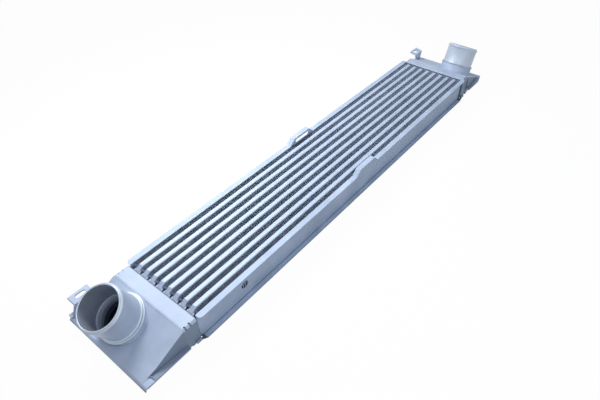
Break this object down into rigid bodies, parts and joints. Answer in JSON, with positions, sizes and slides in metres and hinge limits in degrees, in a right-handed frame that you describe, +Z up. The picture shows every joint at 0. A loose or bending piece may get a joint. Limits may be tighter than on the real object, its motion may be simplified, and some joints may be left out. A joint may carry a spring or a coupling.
{
  "type": "intercooler",
  "caption": "Long flat all-metal charge-air cooler with a tube-and-fin core, slanted end tanks, upturned round hose necks and bent mounting brackets.",
  "frame": {"origin": "centre of the bounding box's base, on the plane of the side plates' bottom flanges", "axes": "+X along the core towards the neck that stands nearer one side, +Y towards the two brackets, +Z up through the core's depth, the way both necks point"},
  "size_m": [0.9922, 0.178, 0.0978],
  "materials": {
    "tubes": "matte, as brazed",
    "fins": "matte, as brazed",
    "sheet": "satin",
    "necks": "satin, turned"
  },
  "bodies": {
    "root": {"tube_1": "tubes", "tube_2": "tubes", "tube_3": "tubes", "tube_4": "tubes", "tube_5": "tubes", "tube_6": "tubes", "tube_7": "tubes", "tube_8": "tubes", "fin_1": "fins", "fin_2": "fins", "fin_3": "fins", "fin_4": "fins", "fin_5": "fins", "fin_6": "fins", "fin_7": "fins", "fin_8": "fins", "fin_9": "fins", "side_plate_left": "sheet", "side_plate_right": "sheet", "header_near": "sheet", "header_far": "sheet", "tank_upper_near": "sheet", "tank_upper_far": "sheet", "tank_lower_near": "sheet", "tank_lower_far": "sheet", "neck_near": "necks", "neck_far": "necks", "bracket_near": "sheet", "bracket_far": "sheet"}
  },
  "joints": []
}
